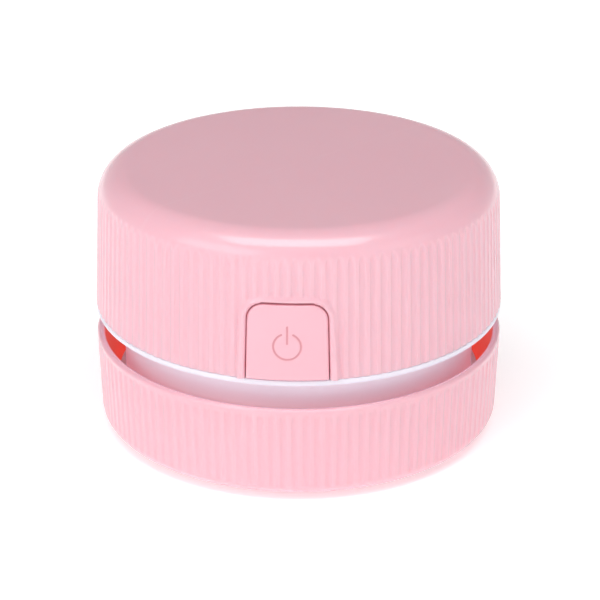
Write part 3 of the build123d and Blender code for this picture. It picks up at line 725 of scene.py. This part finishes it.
carrierScrew = {
    "circle": 14.0, "angles": (90, 210, 330), "bossRadius": 2.2, "bossFoot": 4.4, "bossTop": 6.4,
    "hole": 1.05, "holeFoot": 3.0, "holeTop": 5.7, "headHole": 2.15, "headRoof": 0.5,
}
bossPlaces = ringPlaces(carrierScrew["circle"], carrierScrew["angles"])
carve(dustCup, [prism(roundOutline(x, y, carrierScrew["bossRadius"], 32), upright,
                      carrierScrew["bossFoot"], carrierScrew["bossTop"]) for x, y in bossPlaces], "UNION")
carve(dustCup, [prism(roundOutline(x, y, carrierScrew["hole"], 24), upright,
                      carrierScrew["holeFoot"], carrierScrew["holeTop"]) for x, y in bossPlaces])


cupPaintedInside = {  # painted light on the cup's inside wall: a deeper red colour and a glow standing in for light coming through the pink wall and bouncing between the pink surfaces; the inside is bounded by radius and height in metres
    "inside": tone(226, 92, 80), "glow": (0.24, 0.04, 0.03, 1),
    "radius": 0.04190, "radiusFade": 0.0008, "top": 0.0203, "topFade": 0.0012, "foot": 0.0030, "footFade": 0.0006,
}


def cupFinish():  # the cup's own pink, with painted light on the inside wall: a deeper red and a glow for light coming through and bouncing inside the pink walls
    paint = Paint("cupPink")
    colour, rough, normal = plasticSurface(paint, pinkLook)
    spot = paint.place()
    east, north, up = paint.split(spot, 0), paint.split(spot, 1), paint.split(spot, 2)
    radius = paint.node("ShaderNodeMath", {"operation": "SQRT"}, {0: east * east + north * north})
    inside = 1
    for distance in ((cupPaintedInside["radius"] - radius) / cupPaintedInside["radiusFade"],
                     (cupPaintedInside["top"] - up) / cupPaintedInside["topFade"],
                     (up - cupPaintedInside["foot"]) / cupPaintedInside["footFade"]):
        inside = inside * paint.ramp(distance, [(0.0, 0.0), (1.0, 1.0)])
    # painted light: the inside wall is coloured deeper red and given a glow
    colour = paint.blend(inside, colour, cupPaintedInside["inside"])
    glow = paint.blend(inside, (0, 0, 0, 1), cupPaintedInside["glow"])
    return plasticShader(paint, pinkLook, colour, rough, normal, glow)


finishes["cupPink"] = cupFinish()
dress(dustCup, "cupPink")
settle(dustCup, "cup", ["dust_cup"])
collarRows = (
    arcRows((cup["socketOuter"] - 0.25, cup["socketTop"] - 0.25), 0.25, 0, 90, 5)
    + arcRows((cup["socketInner"] + 0.25, cup["socketTop"] - 0.25), 0.25, 90, 180, 5)
    + [(cup["socketInner"], cup["floorTop"]), (cup["socketOuter"], cup["floorTop"])])
points, faces = turned(collarRows, evenAngles(360), True)
# the collar stands inside the cup and takes the same painted inside light
threadCollar = newPiece("threadCollar", points, faces, "cupPink")
ridgeHeight = thread["lugHeight"] + thread["thick"] + thread["gap"]
carve(threadCollar, [threadPad(a, thread["ridgeHalf"], ridgeHeight, cup["ridgeRadius"], cup["socketInner"] + 0.5)
                     for a in thread["angles"]], "UNION")
dress(threadCollar, "cupPink")
settle(threadCollar, "cup", ["thread_collar"])
print("cup finished,", len(dustCup.data.polygons), "faces")


# chassis: white ring, slotted drum, skirt and what stands on the bulkhead
body = {
    "ringBottom": 25.65, "ringRadius": 42.45, "drumRadius": 36.8, "drumInner": 35.4, "drumBottom": 10.0,
    "skirtRadius": 35.4, "skirtInner": 34.0, "skirtBottom": 4.6, "ledge": 11.0, "top": 27.25, "edge": 0.28,
    "wellBottom": 22.6, "wellFloor": 24.2, "cradle": 12.4, "cradleTop": 36.0, "shaftHole": 3.2,
    "slots": 12, "slotAngle": 12.0, "slotBottom": 12.4, "slotTop": 15.3, "drumMiddle": 18.0,
    "ringFlat": 40.0, "lipOuter": 40.5, "lipInner": 39.3, "lipRise": 1.8, "bevel": 0.3,
    "motorRadius": 10.3, "motorFlat": 7.8, "notchRise": 3,
    "buttonNotch": (-10.6, -44, 10.6, -34.5), "usbNotch": (-6.5, 37, 10.5, 44),
}
stands = {  # what stands on the bulkhead or hangs from it: circles, places, heights
    "earCircle": 33.4, "earAngles": (80, 205, 335), "earRadius": 2.2, "earFoot": 19.65, "screwHole": 1.2,
    "postRadius": 2.3, "foot": 27.0, "shroudCircle": 30.5, "shroudAngles": (45, 165, 285),
    "shroudFoot": 12.2, "shroudTop": 26.2, "clampAcross": 15.9, "clampTop": 49.3,
    "boardAcross": 9.0, "boardBack": 20.0, "boardTop": 29.4,
    "switchPost": (9.2, -27.4, 12.4, -23.2), "switchPostTop": 40.0,
    "switchSlot": (-10.5, -26.1, 10.5, -24.5), "switchSlotTop": 41.0,
}
edge = body["edge"]
bevel = body["bevel"]
lipTop = body["top"] + body["lipRise"]
drumRows = (
    [(body["drumInner"], body["ringBottom"]), (body["drumInner"], body["ledge"]),
     (body["skirtInner"], body["ledge"]), (body["skirtInner"], body["skirtBottom"] + bevel),
     (body["skirtInner"] + bevel, body["skirtBottom"]), (body["skirtRadius"] - bevel, body["skirtBottom"]),
     (body["skirtRadius"], body["skirtBottom"] + bevel), (body["skirtRadius"], body["drumBottom"]),
     (body["drumRadius"] - bevel, body["drumBottom"]), (body["drumRadius"], body["drumBottom"] + bevel),
     (body["drumRadius"], body["drumMiddle"]), (body["drumRadius"], body["ringBottom"])])
points, faces = turned(drumRows, evenAngles(480), True)
fanDrum = newPiece("fanDrum", points, faces, "drumWhite")
chassisRows = (
    [(body["shaftHole"], body["wellBottom"]), (body["cradle"] + 1.6, body["wellBottom"]),
     (body["cradle"] + 1.6, body["ringBottom"]), (body["drumInner"] - bevel, body["ringBottom"]),
     (body["ringFlat"], body["ringBottom"])]
    + arcRows((body["ringRadius"] - edge, body["ringBottom"] + edge), edge, -90, 0, 6)
    + arcRows((body["ringRadius"] - edge, ringTop - edge), edge, 0, 90, 6)
    + [(body["lipOuter"], ringTop), (body["lipOuter"], lipTop - bevel), (body["lipOuter"] - bevel, lipTop),
       (body["lipInner"] + bevel, lipTop), (body["lipInner"], lipTop - bevel), (body["lipInner"], body["top"]),
       (body["cradle"] + 0.5, body["top"]),
       (body["cradle"], body["top"] + 0.5), (body["cradle"], body["cradleTop"]),
       (body["shaftHole"], body["cradleTop"])])
points, faces = turned(chassisRows, evenAngles(480), True)
chassis = newPiece("chassis", points, faces, "whiteAbs")


def aroundPoint(turn):  # places a front outline facing out at an angle about the axis
    c, s = math.cos(turn), math.sin(turn)
    return lambda u, v, depth: (u * c - depth * s, u * s + depth * c, v)


slotWide = 2 * body["drumRadius"] * math.sin(math.radians(body["slotAngle"] / 2))
slotMiddle = (body["slotBottom"] + body["slotTop"]) / 2
slotShape = slotOutline(0, slotMiddle, slotWide, body["slotTop"] - body["slotBottom"])
carve(fanDrum, [prism(slotShape, aroundPoint(math.radians(360 / body["slots"] * k)), 33, 40)
                for k in range(body["slots"])])
flat = body["motorFlat"]
motorHole = [(math.cos(t) * body["motorRadius"], max(-flat, min(flat, math.sin(t) * body["motorRadius"])))
             for t in evenAngles(96)]
notchTop = body["top"] + body["notchRise"]
carve(chassis, [
    prism(motorHole, upright, body["wellFloor"], body["cradleTop"] + 1),
    prism(rectangle(*body["buttonNotch"]), upright, ringTop, notchTop),
    prism(rectangle(*body["usbNotch"]), upright, body["top"], notchTop),
])
ears = ringPlaces(stands["earCircle"], stands["earAngles"])
carve(fanDrum, [prism(roundOutline(x, y, stands["earRadius"], 32), upright, stands["earFoot"], body["ringBottom"])
                for x, y in ears], "UNION")
bossHoles = ringPlaces(bosses["circle"], bosses["angles"])
carve(chassis, [prism(roundOutline(x, y, stands["screwHole"], 24), upright,
                      body["ringBottom"] - 1, body["top"] + 1) for x, y in ears + bossHoles])
posts = [(x, y, stands["shroudFoot"], stands["shroudTop"])
         for x, y in ringPlaces(stands["shroudCircle"], stands["shroudAngles"])]
for side in (-1, 1):
    posts.append((stands["clampAcross"] * side, 0, stands["foot"], stands["clampTop"]))
    posts.append((stands["boardAcross"] * side, stands["boardBack"], stands["foot"], stands["boardTop"]))
carve(chassis, [prism(roundOutline(x, y, stands["postRadius"], 32), upright, low, high)
                for x, y, low, high in posts], "UNION")
carve(fanDrum, [threadPad(a, thread["lugHalf"], thread["lugHeight"], body["skirtInner"] + 0.5, thread["lugRadius"])
                for a in thread["angles"]], "UNION")
dress(fanDrum, "drumWhite")
settle(fanDrum, "head", ["fan_drum"])
near, back, far, front = stands["switchPost"]
for side in (-1, 1):
    postShape = rectangle(near * side, back, far * side, front)[::side]
    carve(chassis, [prism(postShape, upright, stands["foot"], stands["switchPostTop"])], "UNION")
carve(chassis, [prism(rectangle(*stands["switchSlot"]), upright, body["top"], stands["switchSlotTop"])])
dress(chassis, "whiteAbs")
settle(chassis, "head", ["chassis"])
print("chassis finished,", len(chassis.data.polygons), "faces")


# brush: carrier and bristles
carrierLow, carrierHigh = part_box("brush_carrier")
brush = {
    "bottom": carrierLow.z / mm, "top": carrierHigh.z / mm, "radius": carrierHigh.x / mm, "circle": 22.0,
    "tufts": 40, "strands": 26, "tuftRadius": 0.8, "strandRadius": 0.09, "tip": 0.22, "splay": 0.75,
    "bore": 7.5, "middle": 20.4, "pocket": 0.95, "pocketDeep": 1.2, "root": 1.1, "goldenTurn": 2.39996,
    "sides": 5, "levels": (0.0, 0.45, 0.8, 1.0), "thinning": 0.35,
}
carrierRows = [
    (brush["bore"], brush["bottom"] + 0.3), (brush["bore"] + 0.3, brush["bottom"]),
    (brush["middle"], brush["bottom"]),
    (brush["radius"] - 0.4, brush["bottom"]), (brush["radius"], brush["bottom"] + 0.4),
    (brush["radius"], brush["top"]), (brush["bore"], brush["top"])]
points, faces = turned(carrierRows, evenAngles(240), True)
brushCarrier = newPiece("brushCarrier", points, faces, "whiteAbs")
tuftPlaces = [(brush["circle"] * math.cos(t), brush["circle"] * math.sin(t)) for t in evenAngles(brush["tufts"])]
carve(brushCarrier, [prism(roundOutline(x, y, brush["pocket"], 20), upright,
                           brush["bottom"] - 1, brush["bottom"] + brush["pocketDeep"]) for x, y in tuftPlaces])
carve(brushCarrier, [prism(roundOutline(x, y, carrierScrew["headHole"], 32), upright,
                           brush["bottom"] - 1, brush["top"] - carrierScrew["headRoof"]) for x, y in bossPlaces])
dress(brushCarrier, "whiteAbs")
settle(brushCarrier, "cup", ["brush_carrier"])


def bristleFinish():
    paint = Paint("bristleNylon")
    streak = paint.noise(1800, 2.0)
    colour = paint.blend(streak, tone(240, 236, 234), tone(218, 210, 208))
    rough = paint.ramp(streak, [(0.3, 0.28), (0.7, 0.42)])
    return paint.finish({"Base Color": colour, "Roughness": rough, "Sheen Weight": 0.15})


finishes["bristleNylon"] = bristleFinish()


def bristles():
    chance = random.Random(7)
    points = []
    faces = []
    sides, levels = brush["sides"], brush["levels"]
    rootHeight = brush["bottom"] + brush["root"]
    for x, y in tuftPlaces:
        for strand in range(brush["strands"]):
            reach = brush["tuftRadius"] * math.sqrt((strand + 0.5) / brush["strands"])
            turn = strand * brush["goldenTurn"] + chance.uniform(-0.2, 0.2)
            rootX, rootY = x + reach * math.cos(turn), y + reach * math.sin(turn)
            lean = reach * brush["splay"]
            tipHeight = brush["tip"] + chance.uniform(0, 0.25)
            first = len(points)
            for level in levels:
                height = rootHeight + (tipHeight - rootHeight) * level
                cx = rootX + lean * math.cos(turn) * level ** 1.6
                cy = rootY + lean * math.sin(turn) * level ** 1.6
                size = brush["strandRadius"] * (1 - brush["thinning"] * level ** 3)
                points += [(u, v, height) for u, v in roundOutline(cx, cy, size, sides)]
            for level in range(len(levels) - 1):
                for k in range(sides):
                    here = first + level * sides
                    after = (k + 1) % sides
                    faces.append([here + k, here + after, here + sides + after, here + sides + k])
            faces.append([first + k for k in reversed(range(sides))])
            faces.append([first + (len(levels) - 1) * sides + k for k in range(sides)])
    return points, faces


points, faces = bristles()
newPiece("brushTufts", points, faces, "bristleNylon", "cup", ["brush_tufts"])
print("brush made")


# rubber feet
foot = {
    "circle": 33.6, "angles": (45, 135, 225, 315), "radius": 4.0, "height": 1.2, "round": 0.35,
    "dish": 0.12, "dishRadius": 2.0, "dishEdge": 2.6,
}
footPoints = []
footFaces = []
footRows = ([(0.0, foot["dish"]), (foot["dishRadius"], foot["dish"]), (foot["dishEdge"], 0.0)]
            + arcRows((foot["radius"] - foot["round"], foot["round"]), foot["round"], -90, 0, 6)
            + [(foot["radius"], foot["height"]), (0.0, foot["height"])])
points, faces = turned(footRows, evenAngles(64), False)
for footX, footY in ringPlaces(foot["circle"], foot["angles"]):
    first = len(footPoints)
    footPoints += [(x + footX, y + footY, z) for x, y, z in points]
    footFaces += [[first + k for k in face] for face in faces]
newPiece("rubberFeet", footPoints, footFaces, "footRubber", "cup", ["rubber_feet"])


# seal and filter
sealLow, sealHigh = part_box("seal_ring")
seal = {"outer": sealHigh.x / mm, "inner": 35.65, "bottom": sealLow.z / mm, "top": sealHigh.z / mm, "round": 0.15}
sealRound = seal["round"]
sealSides = (seal["outer"] - sealRound, seal["inner"] + sealRound)
sealLevels = (seal["bottom"] + sealRound, seal["top"] - sealRound)
sealRows = (arcRows((sealSides[0], sealLevels[0]), sealRound, -90, 0, 4)
            + arcRows((sealSides[0], sealLevels[1]), sealRound, 0, 90, 4)
            + arcRows((sealSides[1], sealLevels[1]), sealRound, 90, 180, 4)
            + arcRows((sealSides[1], sealLevels[0]), sealRound, 180, 270, 4))
points, faces = turned(sealRows, evenAngles(240), True)
newPiece("sealRing", points, faces, "silicone", "seal", ["seal_ring"])


def filterFinish():
    paint = Paint("filterCloth")
    across, along = [
        paint.node("ShaderNodeTexWave", {"bands_direction": direction, "wave_profile": "SIN"}, {
            "Vector": paint.place(), "Scale": 420.0, "Distortion": 0.4}, out=1) for direction in ("X", "Y")]
    weave = across * along
    dust = paint.noise(120, 6.0, 0.7)
    colour = paint.blend(weave, tone(196, 192, 196), tone(240, 238, 242))
    colour = paint.blend(paint.ramp(dust, [(0.5, 0.0), (0.85, 0.5)]), colour, tone(226, 196, 196))
    return paint.finish({
        "Base Color": colour, "Roughness": paint.ramp(dust, [(0.3, 0.8), (0.8, 0.95)]),
        "Normal": paint.bump(weave, 0.00012, 0.8)})


finishes["filterCloth"] = filterFinish()
meshLow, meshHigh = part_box("filter_mesh")
filterDisc = {
    "radii": [0.0, 6, 12, 18, 24, 30, meshHigh.x / mm], "bottom": meshLow.z / mm, "top": meshHigh.z / mm,
}
discRows = ([(r, filterDisc["bottom"]) for r in filterDisc["radii"]]
            + [(r, filterDisc["top"]) for r in reversed(filterDisc["radii"])])
points, faces = turned(discRows, evenAngles(120), False)
newPiece("filterMesh", points, faces, "filterCloth", "head", ["filter_mesh"])
print("seal, filter and feet made")


# pieces whose shape comes straight from the frame, with their finishes
keptNodes = {
    "screwSteel": ("carrier_screws", "shell_screws", "drum_screws", "shroud_screws", "clamp_screws",
                   "board_screws"),
    "whiteAbs": ("fan_shroud", "filter_frame", "impeller", "switch_plunger"),
    "blackAbs": ("motor_end_cap", "motor_clamp", "battery_clips"),
    "canSteel": ("motor_can", "motor_shaft"),
    "nickel": ("motor_terminals", "battery_tabs", "usb_socket"),
    "chipBlack": ("usb_tongue", "board_chips", "switch_body"),
    "boardGreen": ("charge_board", "switch_board"),
    "leadRed": ("motor_leads", "battery_leads", "switch_leads"),
    "copper": ("rotor_core", "commutator"),
    "bronze": ("motor_bushes",), "ferrite": ("motor_magnets",),
    "cellWrap": ("battery_cell",), "lightPipe": ("charge_led",),
}
for finish, names in keptNodes.items():
    for name in names:
        nodes[name].data.materials.clear()
        nodes[name].data.materials.append(finishes[finish])
print("frame nodes finished,", sum(len(names) for names in keptNodes.values()))


# floor, light and camera
studio = {
    "floorColour": tone(250, 250, 250), "floorSize": 6.0, "floorGlow": 0.33,
    "skyFront": 0.32, "skyBack": 0.20, "horizonGlow": 0.42, "horizonTop": 0.35, "farGlow": 0.6,
}
lights = {  # azimuth, elevation, distance, width, height, power
    "keyLeft": (-45, 31, 0.8, 0.60, 0.34, 1.22),
    "fillRight": (58, 27, 0.8, 0.60, 0.28, 0.38),
    "topPanel": (0, 74, 0.9, 0.9, 0.45, 5.0),
    "frontWash": (0, 8, 1.2, 1.0, 0.3, 0.15),
}


def makeFloor():
    mesh = bpy.data.meshes.new("floor")
    half = studio["floorSize"] / 2
    mesh.from_pydata([(-half, -half, 0), (half, -half, 0), (half, half, 0), (-half, half, 0)], [], [(0, 1, 2, 3)])
    floor = bpy.data.objects.new("floor", mesh)
    bpy.context.scene.collection.objects.link(floor)
    paint = Paint("floorWhite")
    broad = paint.noise(3, 2.0)
    away = paint.node("ShaderNodeVectorMath", {"operation": "LENGTH"}, {0: paint.place()}, out=1)
    glow = paint.ramp(away, [(0.08, studio["floorGlow"]), (0.5, studio["farGlow"])])
    below = paint.node("ShaderNodeNewGeometry", out=6)  # 1 on the floor's underside, which stays clear
    mesh.materials.append(paint.finish({
        "Base Color": paint.blend(broad, studio["floorColour"], tone(248, 248, 248)), "Roughness": 0.9,
        "Specular IOR Level": 0.1, "Emission Color": glow, "Emission Strength": 1.0, "Alpha": 1 - below}))


def makeSky():  # brightest in front and near the horizon, dim behind and overhead
    world = bpy.data.worlds.new("studio")
    paint = Paint("studio", world)
    spot = paint.place(0)
    ahead = paint.split(spot, 1)
    up = paint.split(spot, 2)
    front = paint.spread(ahead, 0.6, -0.6, studio["skyBack"], studio["skyFront"])
    horizon = paint.spread(up, 0.0, studio["horizonTop"], studio["horizonGlow"], 0.0)
    sky = paint.node("ShaderNodeBackground", {}, {"Color": (1, 1, 1, 1), "Strength": front + horizon})
    paint.node("ShaderNodeOutputWorld", {}, {"Surface": sky})
    bpy.context.scene.world = world


def softLight(name, azimuth, elevation, distance, width, height, power, aim=(0, 0, 0.03)):
    light = bpy.data.lights.new(name, "AREA")
    light.shape = "RECTANGLE"
    light.size = width
    light.size_y = height
    light.energy = power
    lamp = bpy.data.objects.new(name, light)
    a, e = math.radians(azimuth), math.radians(elevation)
    target = Vector(aim)
    away = Vector((math.sin(a) * math.cos(e), -math.cos(a) * math.cos(e), math.sin(e)))
    lamp.location = target + away * distance
    lamp.rotation_euler = (target - lamp.location).to_track_quat("-Z", "Y").to_euler()
    bpy.context.scene.collection.objects.link(lamp)


makeFloor()
makeSky()
for name, settings in lights.items():
    softLight(name, *settings)

view = {
    "azimuth": 2.95, "elevation": 24.16, "distance": 0.4244, "lens": 120.35,
    "side": 0.00027, "aimHeight": 0.02486, "sensor": 36, "nearest": 0.01,
}
camera = bpy.data.cameras.new("camera")
camera.lens = view["lens"]
camera.sensor_width = view["sensor"]
camera.clip_start = view["nearest"]
cameraRig = bpy.data.objects.new("camera", camera)
heading, tilt = math.radians(view["azimuth"]), math.radians(view["elevation"])
aimPoint = Vector((math.cos(heading), math.sin(heading), 0)) * view["side"] + Vector((0, 0, view["aimHeight"]))
backward = Vector((math.sin(heading) * math.cos(tilt), -math.cos(heading) * math.cos(tilt), math.sin(tilt)))
cameraRig.location = aimPoint + backward * view["distance"]
cameraRig.rotation_euler = (-backward).to_track_quat("-Z", "Y").to_euler()
bpy.context.scene.collection.objects.link(cameraRig)
bpy.context.scene.camera = cameraRig
bpy.context.scene.view_settings.view_transform = "Standard"
bpy.context.scene.view_settings.look = "None"
print("studio set")
